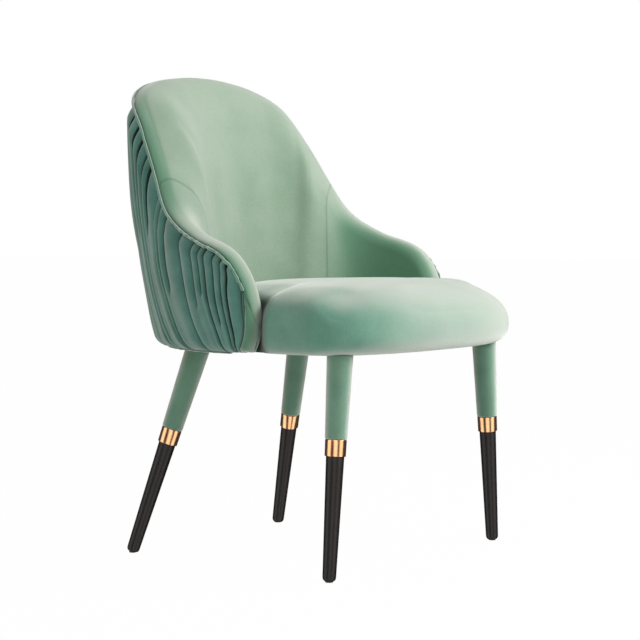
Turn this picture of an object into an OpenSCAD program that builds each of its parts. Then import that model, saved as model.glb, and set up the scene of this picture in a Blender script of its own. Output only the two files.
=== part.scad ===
// Upholstered dining chair: a padded tub back with a pleated outer cover,
// a deep round-fronted seat, and four splayed two-part legs.
// +Z is up, the sitter faces -Y, and the sitter's left hand is on +X.

/* [Overall] */
// Height of the crown of the back above the floor
back_height = 852; // [780:1:920]
// Height of the underside of the seat above the floor
base_height = 368; // [340:1:400]
// Height of the top of the armrests above the floor, at their middle
arm_height = 541; // [520:1:580]
// Half width between the middles of the two armrests, at their top
arm_reach = 289; // [270:1:305]
// Half width of the back at its shoulders, at the middle of its thickness
shoulder_reach = 203; // [180:1:218]

/* [Back shell] */
// Half width of the shell's foot, at the middle of its thickness
foot_half_width = 278; // [268:1:290]
// Front-to-back radius of the shell's foot
foot_depth = 289; // [275:1:300]
// Angle that the shell's foot turns through on each side of the middle
foot_turn = 97; // [94:1:100]
// Half thickness of the padded back at its middle
back_pad = 17; // [15:0.5:20]
// Half thickness of the padded armrest at its front
arm_pad = 25; // [22:0.5:28]
// Extra depth of the inner padding behind the sitter, above the seat
back_foam = 68; // [55:1:75]
// Radius of the armrest's upper front corner
nose_r = 54; // [35:1:60]
// Thickness of the moulded plywood
ply = 10; // [8:1:12]
// Depth of the padding above the plywood's top edge
rim_pad = 16; // [13:1:20]
// How far the outer cover stands out past the sewn edge, at the back
puff = 17; // [12:1:22]
// Number of pleats across the outer cover
pleats = 38; // [24:2:48]
// Depth of one pleat
pleat_depth = 5; // [3:0.5:7]
// Diameter of the piping in the sewn edge
piping_d = 4; // [3:0.5:6]

/* [Seat] */
// Height of the seat's crown above its underside
seat_rise = 117; // [100:1:130]
// Half width of the cushion at its widest
seat_half_width = 292; // [280:1:300]
// Depth of the cushion's round front, at its widest
seat_nose = 134; // [120:1:150]
// How far the cushion's side stands out past its lower edge
seat_side_bulge = 30; // [22:1:34]
// How far the cushion's front stands out past its lower edge
seat_front_bulge = 31; // [22:1:34]
// Height of the cushion's widest line above its underside
seat_waist = 32; // [24:1:40]
// Height of the seat frame's rails
rail_h = 34; // [28:1:38]
// Width of the seat frame's rails
rail_w = 36; // [30:1:42]
// Width of one elastic web
web_w = 50; // [40:1:60]
// Thickness of one elastic web
web_t = 2; // [1.5:0.5:3]

/* [Legs] */
// How far the tops of the front legs stand in from the cushion's lower side edge
front_leg_inset = 28.5; // [27:0.5:32]
// How far they stand back from the cushion's lower front edge
front_leg_setback = 56; // [50:1:64]
// How far the tops of the rear legs stand in from the side of the shell's foot
rear_leg_inset = 124.7; // [118:0.1:130]
// How far they stand ahead of the back of the shell's foot
rear_leg_setback = 100.4; // [96:0.1:106]
// Inward lean of a front leg, per unit of height
front_lean = 0.087; // [0.05:0.001:0.12]
// Inward lean of a rear leg, per unit of height
rear_lean = 0.180; // [0.14:0.001:0.2]
// Forward rake of a rear leg, per unit of height
rear_rake = 0.270; // [0.22:0.001:0.3]
// Diameter of the leg at the seat, over its fabric
leg_top_d = 43.5; // [40:0.5:46]
// Diameter of the covered leg at the ferrule
leg_mid_d = 36.5; // [35:0.5:38]
// Diameter of the lacquered leg below the ferrule
tip_top_d = 30; // [27:0.5:31]
// Diameter of the lacquered leg at the foot
tip_foot_d = 22; // [20:0.5:25]
// Length along the leg from the foot to the ferrule's lower edge
tip_length = 204; // [180:1:220]
// Outer diameter of the ferrule
ferrule_d = 35.5; // [35:0.5:38]
// Height of the ferrule
ferrule_h = 27; // [22:1:32]
// Diameter of the glide under each foot
glide_d = 13; // [10:0.5:16]
// Thickness of the glide
glide_h = 4; // [3:0.5:5]

/* [Materials and fits] */
// Thickness of the upholstery fabric
fabric = 1.5; // [1:0.1:2]
// Clearance between soft pieces and what they cover
ease = 0.3; // [0.2:0.05:0.5]
// Diameter of the leg bolts and joining studs
bolt_d = 8; // [6:1:10]
// Clearance all round a bolt in its bore
bolt_play = 0.15; // [0.1:0.05:0.3]
// Thickness of the steel leg plates
plate_t = 3; // [2:0.5:4]
// Side of the square leg plates
plate_w = 32; // [30:1:36]

/* [Hidden] */
leg_names = ["front_left", "front_right", "rear_left", "rear_right"];
leg_pieces = ["leg_wood", "leg_sleeve", "ferrule", "leg_tip", "glide"];

green = "#8fb39a";
dark_green = "#5f8a76";

// ---- Small helpers ----

function lerp(a, b, k) = a + (b - a) * k;
function ease_in(k) = let (c = min(max(k, 0), 1)) c * c * (3 - 2 * c);
function unit(v) = v / norm(v);
function power(v, p) = sign(v) * pow(abs(v), p);
function mirrored(p) = [-p[0], p[1], p[2]];
function span(a, b, n) = [for (i = [0:n]) lerp(a, b, i / n)];

// Smooth curve through a list of points, u running from 0 to len - 1
function curve(p, u) =
    let (i = min(floor(u), len(p) - 2), f = u - i,
         a = p[max(i - 1, 0)], b = p[i], c = p[i + 1], d = p[min(i + 2, len(p) - 1)])
    b + 0.5 * f * ((c - a) + f * ((2 * a - 5 * b + 4 * c - d) + f * (3 * (b - c) + d - a)));

// Solid through a list of closed rings that all have the same number of points
module loft(rings) {
    n = len(rings[0]);
    last = len(rings) - 1;
    middle = [for (r = [rings[0], rings[last]]) [for (a = [0:2]) [for (p = r) p[a]] * [for (p = r) 1 / n]]];
    points = concat([for (r = rings, p = r) p], middle);
    sides = [for (i = [0:last - 1], j = [0:n - 1]) let (a = i * n + j, b = i * n + (j + 1) % n)
        each [[a, b, b + n], [a, b + n, a + n]]];
    first_cap = [for (j = [0:n - 1]) [(j + 1) % n, j, len(points) - 2]];
    last_cap = [for (j = [0:n - 1]) [last * n + j, last * n + (j + 1) % n, len(points) - 1]];
    polyhedron(points, concat(sides, first_cap, last_cap), convexity = 8);
}

// ---- Shape of the back shell ----
// A place on the shell is given by t, from 0 at the middle of the back to 1 at
// the front of the left armrest, and by a depth below the rim.

rim_half = [
    [0, 255, back_height],
    [67, 253, back_height - 3.5],
    [shoulder_reach - 59, 248, back_height - 16],
    [shoulder_reach, 224, back_height - 47],
    [lerp(shoulder_reach, arm_reach, 0.27), 182, lerp(back_height, arm_height, 0.35)],
    [lerp(shoulder_reach, arm_reach, 0.45), 142, lerp(back_height, arm_height, 0.575)],
    [lerp(shoulder_reach, arm_reach, 0.66), 100, lerp(back_height, arm_height, 0.79)],
    [arm_reach - 13, 41, arm_height + 27],
    [arm_reach, -30, arm_height],
    [arm_reach - 2, -88, arm_height - 48]];
rim_last = len(rim_half) - 1;
rim_points = concat([for (i = [rim_last:-1:1]) mirrored(rim_half[i])], rim_half);
foot_y = -46;
nose_speed = 520;   // length of armrest per unit of t, near its front
edge_drop = [4, 11];  // height of the edge's outer corner, at the back and at the arm
edge_roll = 24;     // height of the edge's soft inner corner
foam_end = 0.84;    // where the extra padding ends, along the shell
foam_fade = 0.46;   // and over how much of the shell it thins out before that
back_slope = 260;   // the extra padding builds up over this depth at the middle of the back
wing_slope = 56;    // and over this depth at the wings
wing_full = 0.42;   // from here to the arms it builds up as at the wings
seam_at = 0.55;     // the seam between the back and an arm
bow = 0.035;        // outward bow of the outer cover, per unit of its height
front_hem = 18;     // the outer cover stops this far behind the arm's front
foot_round = 18;    // radius of the outer cover's lower edge
puff_taper = 0.72;  // share of the puff that is lost by the armrest's front
puff_rise = 30;     // distance from the sewn edge over which the puff builds up
step = 0.004;       // of t, for the direction of the rim

function rim(t) = curve(rim_points, (t + 1) * rim_last);
function foot(t) = [foot_half_width * sin(foot_turn * t), foot_y + foot_depth * cos(foot_turn * t), base_height];
function side_of(p, q) = unit([q[1] - p[1], p[0] - q[0], 0]);
function rim_out(t) = side_of(rim(t + step), rim(t - step));
function foot_out(t) = side_of(foot(t + step), foot(t - step));
function out(t, k) =
    let (s = min(max(t, -1 + step), 1 - step)) unit(lerp(rim_out(s), foot_out(s), k));
// Share of a rim-to-foot line that a depth square to the rim takes
function slope(t) =
    let (s = min(max(t, -1 + step), 1 - step), d = rim(s + step) - rim(s - step)) norm([d[0], d[1]]) / norm(d);
function line_length(t) = norm(rim(t) - foot(t));
function from_end(t) = (1 - abs(t)) * nose_speed;
function corner_drop(t) =
    let (e = from_end(t)) e < nose_r ? nose_r - sqrt(nose_r * nose_r - pow(nose_r - e, 2)) : 0;
function edge_gap(e, d) = e < nose_r && d < nose_r
    ? max(nose_r - norm([nose_r - e, nose_r - d]), 0)
    : max(min(e, d), 0);
function thick(t) = lerp(back_pad, arm_pad, abs(t));
function quarter(k, p = 2) = let (c = min(max(k, 0), 1)) pow(1 - pow(1 - c, p), 1 / p);
// The inner padding: deep behind the sitter, and thin at the arms
function extra_pad(t) = back_foam * ease_in((foam_end - abs(t)) / foam_fade);
function pad_depth(t) = thick(t) + extra_pad(t);
function build_up(t) = lerp(back_slope, wing_slope, ease_in(abs(t) / wing_full));

// Place at a depth below the rim, moved outwards by off. Inwards, the way is square
// to the foot at every height, so that deep padding has no folds.
function place(t, depth, off) =
    let (k = depth / line_length(t)) lerp(rim(t), foot(t), k) + off * out(t, off < 0 ? 1 : k);
// Depth of a height z on the line at t
function depth_at(t, z) = line_length(t) * (rim(t)[2] - z) / (rim(t)[2] - base_height);
function top_depth(t, inset) = corner_drop(t) / slope(t) + inset / slope(t);
function gap_at(t, depth) = edge_gap(from_end(t), depth * slope(t));

// Finished surfaces of the padding, sunk by a cover's thickness
function corner_h(t) = lerp(edge_drop[0], edge_drop[1], abs(t));
function inner_off(t, depth, sunk) =
    let (gap = gap_at(t, depth) - sunk)
    -(thick(t) - sunk) * quarter(gap / edge_roll) - extra_pad(t) * quarter(gap / build_up(t), 1.3);
function outer_off(t, depth, sunk) =
    (thick(t) - sunk) * quarter((gap_at(t, depth) - sunk) / corner_h(t));
function lean_in(z) = z < foot_round ? foot_round - sqrt(max(foot_round * foot_round - pow(foot_round - z, 2), 0)) : 0;
function cover_off(t, depth, sunk) =
    let (k = depth / line_length(t), z = place(t, depth, 0)[2] - base_height)
    thick(t) - sunk - lean_in(z)
    + (puff * (1 - puff_taper * abs(t)) + bow * 4 * k * (1 - k) * line_length(t))
      * ease_in((gap_at(t, depth) - corner_h(t)) / puff_rise);

// Columns along the shell: even over the back, and closer together towards the
// front of each arm. The arm covers are sewn to the back cover at seam_at.
back_columns = span(-seam_at, seam_at, 20);
arm_steps = 9;
hem_column = 1 - (front_hem + ease) / nose_speed;
nose_ends = [front_hem - ease, 11, 5, 1.2];    // distances of the last columns from the front
arm_columns = concat([for (i = [0:arm_steps]) lerp(seam_at, hem_column, sin(90 * i / arm_steps))],
    [for (e = nose_ends) 1 - e / nose_speed]);
last_column = len(arm_columns) - 1;
shell_columns = concat([for (i = [last_column:-1:1]) -arm_columns[i]], back_columns,
    [for (i = [1:last_column]) arm_columns[i]]);
// Depths below the rim, close together over the rounded edge
function depths(t, inset, z_low, n) =
    let (a = top_depth(t, inset), b = depth_at(t, z_low), c = min(edge_roll / slope(t), (b - a) * 0.5))
    concat([for (k = [0, 0.1, 0.3, 0.6]) a + c * k], [for (i = [0:n]) lerp(a + c, b, i / n)]);

// ---- Shape of the seat ----

seat_y = -166;                     // middle of the cushion's round front
frame_z = base_height + fabric;    // underside of the frame
frame_top = frame_z + rail_h;
web_top = frame_top + 2 * web_t;
wall_gap = 2;                      // between the cushion and the arms' inner face
wall_end = 0.9;                    // where along the shell the cushion leaves the wall
side_rows = [0.15, 0.3, 0.42, 0.6, 0.7, 0.85];    // from there to the round front
frame_inset = 3;                   // between the cushion's lower edge and the frame
seat_power = 2.9;                  // squareness of the round front
front_dome = 2.66;                 // roundness of the crown towards the front
rear_dome = 5;                     // and towards the back
rear_lift = 12;                    // height of the cushion's lower roll over the webbing

// Outline of the seat, clockwise from above, each point with its share of "front".
// The round front has its own half width and nose; the rest follows the shell at
// the height z, moved by wall_off, and by jog more past the end of the base rail.
// Where padded is 1, it follows the inner padding as well.
function seat_outline(half_w, nose, wall_off, z = base_height, jog = 0, padded = 0, n = 11) =
    let (wall = [for (t = span(-wall_end, wall_end, 2 * n))
             let (off = wall_off - jog * past_rail(t) - padded * (pad_depth(t) - arm_pad),
                  p = place(t, depth_at(t, z), off)) [p[0], p[1], 0]],
         front = [for (a = span(90, -90, 2 * n))
             [half_w * power(sin(a), 2 / seat_power), seat_y - nose * power(cos(a), 2 / seat_power), 1]],
         right_end = wall[0], left_end = wall[len(wall) - 1])
    concat(wall,
        [for (i = [len(side_rows) - 1:-1:0]) side_point(left_end, [half_w, seat_y], side_rows[i])],
        front,
        [for (k = side_rows) side_point(right_end, [-half_w, seat_y], k)]);
// The cushion keeps its full width up to the arm's front, then slips inside it
function side_point(behind, ahead, k) =
    let (share = ease_in((0.78 - k) / 0.58))
    [lerp(behind[0], ahead[0], share), lerp(ahead[1], behind[1], k), share];
function place_foot(t, off) = let (p = foot(t) + off * foot_out(t)) [p[0], p[1]];
function flat(outline) = [for (p = outline) [p[0], p[1]]];

wall_at = -(arm_pad + wall_gap);   // the cushion's side, from the middle of the shell
wall_z = base_height + seat_rise * 0.51;    // height at which the cushion meets the wall
rail_at = -(arm_pad - 2);          // where the frame meets the base rail
rail_end = 0.84;                   // the base rail stops here, short of the arm's front
function past_rail(t) = ease_in((abs(t) - rail_end + 0.05) / 0.05);
function frame_outline(inset) =
    flat(seat_outline(seat_half_width - seat_side_bulge - inset, seat_nose - seat_front_bulge - inset,
        rail_at - inset + frame_inset, jog = rail_at - wall_at + fabric + ease));

// Rings of the cushion from its lower edge up to its crown, sunk by a cover. Between
// the arms the cushion stands on the webbing; its front hangs down over the frame.
function frontness(p) = ease_in(p[2] * 4);
function low_ring(sunk, k, z, lift) =
    let (drop = 1 - k)
    [for (p = seat_outline(seat_half_width - sunk - seat_side_bulge * drop,
                           seat_nose - sunk - seat_front_bulge * drop, wall_at - sunk, wall_z, padded = 1))
        [p[0], p[1], max(z, lerp(web_top + lift, z, frontness(p)))]];
function dome_ring(sunk, rho) =
    let (waist = base_height + seat_waist, rise = seat_rise - seat_waist - sunk)
    [for (p = seat_outline(seat_half_width - sunk, seat_nose - sunk, wall_at - sunk, wall_z, padded = 1))
        let (power_here = lerp(rear_dome, front_dome, p[2]),
             low = lerp(web_top + rear_lift, waist, frontness(p)),
             top = base_height + seat_rise - sunk)
        [p[0] * rho, lerp(seat_y, p[1], rho),
         low + (top - low) * pow(1 - pow(rho, power_here), 1 / power_here)]];
function cushion_rings(sunk) = concat(
    [for (a = [90, 60, 30]) let (waist = base_height + seat_waist)
        low_ring(sunk, cos(a), waist - (seat_waist - sunk) * sin(a), sunk + 6 - 5 * sin(a))],
    [for (rho = [1, 0.985, 0.94, 0.86, 0.72, 0.52, 0.28]) dome_ring(sunk, rho)]);

// ---- Legs ----

function is_front(i) = i < 2;
function leg_side(i) = i % 2 == 0 ? 1 : -1;
function leg_lean(i) = is_front(i) ? front_lean : rear_lean;
// Middle of a leg at the underside of the seat, and at the floor
function leg_head(i) = is_front(i)
    ? [leg_side(i) * (seat_half_width - seat_side_bulge - front_leg_inset),
       seat_y - seat_nose + seat_front_bulge + front_leg_setback, base_height]
    : [leg_side(i) * (foot_half_width - rear_leg_inset),
       foot_y + foot_depth - rear_leg_setback, base_height];
function leg_foot(i) = leg_head(i)
    - base_height * [-leg_side(i) * leg_lean(i), is_front(i) ? 0 : -rear_rake, 1];
function leg_axis(i) = unit([-leg_side(i) * leg_lean(i), is_front(i) ? 0 : -rear_rake, 1]);
function along(i, s) = leg_foot(i) + leg_axis(i) * s;
function leg_length(i) = base_height / leg_axis(i)[2];

// Stand what is drawn upright on the foot along the leg's own axis. The turn about
// that axis keeps the seam of each round face clear of the level cuts.
leg_turn = 45;
module on_leg(i) {
    axis = leg_axis(i);
    translate(leg_foot(i))
        rotate([0, acos(axis[2]), atan2(axis[1], axis[0])])
            rotate([0, 0, leg_turn])
                children();
}
far = 400;    // more than half the width or the depth of the chair
// Room below the underside of the seat, and above the floor
module below_seat(top = base_height) {
    translate([-far, -far, 0])
        cube([2 * far, 2 * far, top]);
}
sleeve_start = tip_length + ferrule_h;
wood_gap = fabric + ease;
wood_start = sleeve_start + 1;
overrun = 12;      // the leg is drawn this much too long, then cut level under the seat
hole_play = 0.2;   // clearance on the diameter of plain holes
seat_play = 0.4;   // clearance on the size of seats cut for hardware

module leg_wood(i) {
    color("burlywood")
    difference() {
        intersection() {
            on_leg(i)
                translate([0, 0, wood_start])
                    cylinder(d1 = leg_mid_d - 2 * wood_gap, d2 = leg_top_d - 2 * wood_gap,
                             h = leg_length(i) + overrun - wood_start, $fn = 48);
            below_seat();
        }
        stud_bores(i);
    }
}
module leg_sleeve(i) {
    length = leg_length(i) + overrun - sleeve_start;
    color(green)
    intersection() {
        on_leg(i)
            difference() {
                translate([0, 0, sleeve_start + ease])
                    cylinder(d1 = leg_mid_d, d2 = leg_top_d, h = length, $fn = 48);
                translate([0, 0, sleeve_start])
                    cylinder(d1 = leg_mid_d - 2 * fabric, d2 = leg_top_d - 2 * fabric,
                             h = length + 1, $fn = 48);
            }
        below_seat(base_height - ease);
    }
}
module ferrule(i) {
    r = ferrule_d / 2;
    bore_r = bolt_d / 2 + bolt_play;
    lip = 1.2;
    color("#b98d5a")
    on_leg(i)
        translate([0, 0, tip_length])
            rotate_extrude($fn = 64)
                polygon([[bore_r, 0], [r - lip, 0], [r, lip], [r, ferrule_h - lip],
                         [r - lip, ferrule_h], [bore_r, ferrule_h]]);
}
module leg_tip(i) {
    r = tip_foot_d / 2;
    end_r = 8;
    tip_round = [for (a = [-78, -60, -40, -20, 0]) [r - end_r + end_r * cos(a), end_r + end_r * sin(a)]];
    color("#221d1b")
    difference() {
        intersection() {
            on_leg(i)
                rotate_extrude($fn = 48)
                    polygon(concat([[0, 0], [r - end_r, 0]], tip_round,
                        [[tip_top_d / 2, tip_length], [0, tip_length]]));
            translate([0, 0, foot_cut])
                below_seat();
        }
        stud_bores(i);
        translate(glide_at(i))
            cylinder(d = glide_d + hole_play, h = glide_h, $fn = 32);
    }
}
foot_cut = 1.2;    // the foot ends this far above the floor, and the glide carries it
function glide_at(i) = let (a = leg_axis(i)) leg_foot(i) + [a[0], a[1], 0] * glide_h;
module glide(i) {
    color("#2a2725")
    translate(glide_at(i))
        cylinder(d = glide_d, h = glide_h, $fn = 32);
}

stud_reach = 32;   // length of the joining stud on each side of the ferrule
bolt_below = 45;   // length of the leg bolt in the leg
bolt_above = 30;   // and above the underside of the seat
bore_over = 1;     // bores run this far past the end of what they hold
module stud_bores(i) {
    on_leg(i) {
        translate([0, 0, tip_length - stud_reach - bore_over])
            cylinder(d = bolt_d + 2 * bolt_play, h = ferrule_h + 2 * (stud_reach + bore_over), $fn = 24);
        translate([0, 0, leg_length(i) - bolt_below - bore_over])
            cylinder(d = bolt_d + 2 * bolt_play, h = bolt_below + overrun, $fn = 24);
    }
}
module joining_studs() {
    color("silver")
    for (i = [0:3])
        on_leg(i)
            translate([0, 0, tip_length - stud_reach])
                cylinder(d = bolt_d, h = ferrule_h + 2 * stud_reach, $fn = 24);
}
module leg_bolts() {
    color("silver")
    for (i = [0:3])
        on_leg(i)
            translate([0, 0, leg_length(i) - bolt_below])
                cylinder(d = bolt_d, h = bolt_below + bolt_above, $fn = 24);
}
nut_flange = 2;
nut_barrel = 12;
nut_d = bolt_d + 4;
nut_flange_d = bolt_d + 14;
nut_top = bolt_above - 2;    // the bolt shows this much less than its length past the nut
module tee_nuts() {
    color("silver")
    for (i = [0:3])
        on_leg(i)
            translate([0, 0, leg_length(i) + nut_top - nut_barrel])
                difference() {
                    union() {
                        cylinder(d = nut_d, h = nut_barrel, $fn = 24);
                        translate([0, 0, nut_barrel - nut_flange])
                            cylinder(d = nut_flange_d, h = nut_flange, $fn = 24);
                    }
                    translate([0, 0, -1])
                        cylinder(d = bolt_d + 2 * bolt_play, h = nut_barrel + 2, $fn = 24);
                }
}
// Seats cut in the corner blocks for the tee nuts, bolts and plates
module leg_seats(i) {
    side = plate_w + seat_play;
    on_leg(i)
        translate([0, 0, leg_length(i) - overrun]) {
            cylinder(d = nut_d + seat_play, h = bolt_above + overrun * 2, $fn = 24);
            translate([0, 0, overrun + nut_top - nut_flange - 0.1])
                cylinder(d = nut_flange_d + seat_play, h = bolt_above, $fn = 24);
        }
    plate_at(i) {
        translate([-side / 2, -side / 2, -overrun])
            cube([side, side, plate_t + overrun]);
        screw_places()
            cylinder(d = screw_d + hole_play, h = screw_l, $fn = 16);
    }
}
bolt_hole_d = bolt_d + 3;    // the bolt passes the plate and the dust cover at an angle
screw_d = 4;
screw_l = 22;
screw_inset = 5;
plate_shift = 9;    // the plate lies this far inwards of its bolt, both ways
module plate_at(i) {
    p = along(i, frame_z / leg_axis(i)[2]);
    translate([p[0], p[1], frame_z])
        mirror([leg_side(i) > 0 ? 0 : 1, 0, 0])
            mirror([0, is_front(i) ? 1 : 0, 0])
                translate([-plate_shift, -plate_shift, 0])
                    children();
}
// Three screws, in the corners that the bolt leaves free
module screw_places() {
    for (corner = [[-1, -1], [-1, 1], [1, -1]])
        translate(corner * (plate_w / 2 - screw_inset))
            children();
}
module leg_plates() {
    color("gray")
    for (i = [0:3])
        difference() {
            plate_at(i)
                translate([-plate_w / 2, -plate_w / 2, 0])
                    cube([plate_w, plate_w, plate_t]);
            on_leg(i)
                translate([0, 0, leg_length(i) - overrun])
                    cylinder(d = bolt_hole_d, h = bolt_above, $fn = 24);
            plate_at(i)
                screw_places()
                    translate([0, 0, -1])
                        cylinder(d = screw_d + hole_play, h = plate_t + 2, $fn = 16);
        }
}
module plate_screws() {
    color("silver")
    for (i = [0:3])
        plate_at(i)
            screw_places()
                cylinder(d = screw_d, h = screw_l - 1, $fn = 16);
}

// ---- Seat frame ----

// Inner sides, and rear and front sides, of the front and the rear corner blocks
block_reach = 64;
block_x = [leg_head(0)[0] - block_reach, leg_head(2)[0] - block_reach];
block_y = [leg_head(0)[1] + block_reach, leg_head(2)[1] - block_reach];
module frame_plate() {
    translate([0, 0, frame_z])
        linear_extrude(rail_h)
            polygon(frame_outline(frame_inset));
}
module frame_ring() {
    translate([0, 0, frame_z])
        linear_extrude(rail_h)
            difference() {
                polygon(frame_outline(frame_inset));
                polygon(frame_outline(frame_inset + rail_w));
            }
}
module between(x0, x1, y0, y1) {
    intersection() {
        children();
        translate([x0, y0, frame_z - 1])
            cube([x1 - x0, y1 - y0, rail_h + 2]);
    }
}
module drilled_rail() {
    color("tan")
    difference() {
        children();
        dowels(hole_play, bore_over);
        shell_bolts(2 * bolt_play, 0);
    }
}
module front_rail() {
    drilled_rail() between(-block_x[0], block_x[0], -far, 0) frame_ring();
}
module rear_rail() {
    drilled_rail() between(-block_x[1], block_x[1], 0, far) frame_ring();
}
module left_rail() {
    drilled_rail() between(0, far, block_y[0], block_y[1]) frame_ring();
}
module right_rail() {
    drilled_rail() between(-far, 0, block_y[0], block_y[1]) frame_ring();
}
module corner_blocks() {
    color("burlywood")
    difference() {
        for (s = [0, 1])
            mirror([s, 0, 0]) {
                between(block_x[0], far, -far, block_y[0]) frame_plate();
                between(block_x[1], far, block_y[1], far) frame_plate();
            }
        dowels(hole_play, bore_over);
        shell_bolts(2 * bolt_play, 0);
        for (i = [0:3])
            leg_seats(i);
    }
}
dowel_l = 40;
dowel_d = 8;
dowel_inset = rail_w * 0.55;
// Where the frame's outline crosses the line on which the coordinate axis is at
function crossings(axis, at) =
    let (o = frame_outline(frame_inset), n = len(o))
    [for (i = [0:n - 1]) let (a = o[i], b = o[(i + 1) % n])
        if ((a[axis] - at) * (b[axis] - at) < 0)
            lerp(a, b, (at - a[axis]) / (b[axis] - a[axis]))[1 - axis]];
dowel_spots = [
    [block_x[0], min(crossings(0, block_x[0])) + dowel_inset, 90],
    [block_x[1], max(crossings(0, block_x[1])) - dowel_inset, 90],
    [max(crossings(1, block_y[0])) - dowel_inset, block_y[0], 0],
    [max(crossings(1, block_y[1])) - dowel_inset, block_y[1], 0]];
module dowels(extra, longer) {
    for (side = [0, 1], spot = dowel_spots)
        mirror([side, 0, 0])
            translate([spot[0], spot[1], frame_z + rail_h / 2])
                rotate([90, 0, spot[2]])
                    cylinder(d = dowel_d + extra, h = dowel_l + 2 * longer, center = true, $fn = 20);
}
module frame_dowels() {
    color("wheat") dowels(0, 0);
}

web_x = [-140, 0, 140];
web_y = [-200, -110, -20, 70];
web_inset = 12;    // the webs end this far in from the frame's edge
module webs(z, across) {
    color("#3a3a38")
    intersection() {
        translate([0, 0, z])
            linear_extrude(web_t)
                polygon(frame_outline(frame_inset + web_inset));
        union() {
            if (across)
                for (y = web_y)
                    translate([-far, y - web_w / 2, z - 1])
                        cube([2 * far, web_w, web_t + 2]);
            else
                for (x = web_x)
                    translate([x - web_w / 2, -far, z - 1])
                        cube([web_w, 2 * far, web_t + 2]);
        }
    }
}
module webbing_lengthwise() {
    webs(frame_top, false);
}
module webbing_across() {
    webs(frame_top + web_t, true);
}
wrap = 10;       // width of the seat cover's turn-under
dust_t = 0.8;
module dust_cover() {
    color("#242424")
    difference() {
        translate([0, 0, frame_z - dust_t])
            linear_extrude(dust_t)
                polygon(frame_outline(wrap + 1));
        for (i = [0:3])
            on_leg(i)
                translate([0, 0, leg_length(i) - overrun])
                    cylinder(d = bolt_hole_d, h = bolt_above, $fn = 24);
    }
}

// ---- Seat padding ----

module seat_foam() {
    sunk = fabric + ease;
    rings = cushion_rings(sunk);
    hollow = seat_outline(seat_half_width - seat_side_bulge - frame_inset + ease,
        seat_nose - seat_front_bulge - frame_inset + ease, wall_at - sunk - 1, wall_z, padded = 1);
    low = [for (i = [0:len(hollow) - 1]) [hollow[i][0], hollow[i][1], rings[0][i][2]]];
    high = [for (p = hollow) [p[0], p[1], web_top + ease]];
    color("#e9dcae")
    loft(concat([high, low], rings));
}
module seat_cover() {
    outer = cushion_rings(0);
    inner = cushion_rings(fabric);
    turn = seat_outline(seat_half_width - seat_side_bulge - wrap, seat_nose - seat_front_bulge - wrap,
        wall_at - 4, wall_z, padded = 1);
    turn_low = [for (i = [0:len(turn) - 1]) [turn[i][0], turn[i][1], outer[0][i][2]]];
    turn_high = [for (i = [0:len(turn) - 1]) [turn[i][0], turn[i][1], outer[0][i][2] + fabric * 0.98]];
    color(green)
    loft(concat([for (i = [len(inner) - 1:-1:0]) inner[i]], [turn_high, turn_low], outer));
}

// ---- Back shell, padding and covers ----

// Closed section between an inner and an outer surface, given as offset and depth pairs
function section_points(t, pairs) = [for (p = pairs) place(t, p[1], p[0])];

shell_inset = rim_pad + 4;    // the plywood stops this far behind the arm's front
module back_shell() {
    low = frame_z + ease;
    color("#c9a777")
    difference() {
        loft([for (t = shell_columns) if (from_end(t) > shell_inset)
            let (top = top_depth(t, rim_pad), bottom = depth_at(t, low),
                rows = [for (k = span(0, 1, 5)) lerp(top, bottom, k)])
            section_points(t, concat(
                [for (d = rows) [-ply / 2, d]],
                [for (i = [len(rows) - 1:-1:0]) [ply / 2, rows[i]]]))]);
        shell_bolts(2 * bolt_play, 1);
    }
}
module back_base_rail() {
    reach = rail_end - 0.05;
    inner_edge = [for (t = span(-reach, reach, 28)) place_foot(t, rail_at + ease)];
    outer_edge = [for (t = span(-reach, reach, 28)) place_foot(t, -ply / 2 - ease)];
    color("tan")
    difference() {
        translate([0, 0, frame_z])
            linear_extrude(rail_h)
                polygon(concat(inner_edge, [for (i = [28:-1:0]) outer_edge[i]]));
        shell_bolts(2 * bolt_play, 0);
    }
}
bolt_places = [-0.76, -0.5, -0.13, 0.13, 0.5, 0.76];
shell_bolt_d = 6;
shell_bolt_l = 52;
shell_washer = [14, 3];    // diameter and thickness
module shell_bolts(extra, head_room) {
    room = head_room * 12;
    for (t = bolt_places) {
        out_dir = foot_out(t);
        start = foot(t) + out_dir * (ply / 2 - shell_washer[1]) + [0, 0, fabric + rail_h / 2];
        translate(start)
            rotate([0, 90, atan2(-out_dir[1], -out_dir[0])]) {
                cylinder(d = shell_bolt_d + extra, h = shell_bolt_l + extra, $fn = 20);
                translate([0, 0, -room])
                    cylinder(d = shell_washer[0] + 2 * extra, h = shell_washer[1] + room, $fn = 24);
            }
    }
}
module back_bolts() {
    color("silver") shell_bolts(0, 0);
}
// The padding stands on the webbing, and reaches down to the foot at the arm's front
pad_low = web_top + ease;
least_off = 0.2;    // the padding's two faces stay this far from its middle surface
function pad_foot(t, z) = lerp(pad_low, z, ease_in((abs(t) - rail_end - 0.01) / 0.05));
module inner_foam() {
    sunk = fabric + ease;
    behind = -ply / 2 - ease;
    color("#e9dcae")
    loft([for (t = shell_columns) let (s = t * (1 - sunk / nose_speed),
            rows = depths(s, sunk, pad_foot(s, frame_z + ease), 8), low = rows[len(rows) - 1],
            turn = min(top_depth(s, rim_pad - ease), low - 2),
            past = from_end(s) < rim_pad,
            back_rows = [for (k = [1, 0.5, 0]) lerp(turn, low, k)])
        section_points(s, concat(
            [for (d = rows) [min(inner_off(s, d, sunk), -least_off), d]],
            [for (d = back_rows)
                [past ? max(outer_off(s, d, sunk), least_off) : max(behind, inner_off(s, d, sunk) + 0.5), d]],
            [for (k = [1, 0.6, 0.25, 0.05, 0])
                let (d = lerp(top_depth(s, sunk), turn, k)) [max(outer_off(s, d, sunk), least_off), d]]))]);
}
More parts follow.
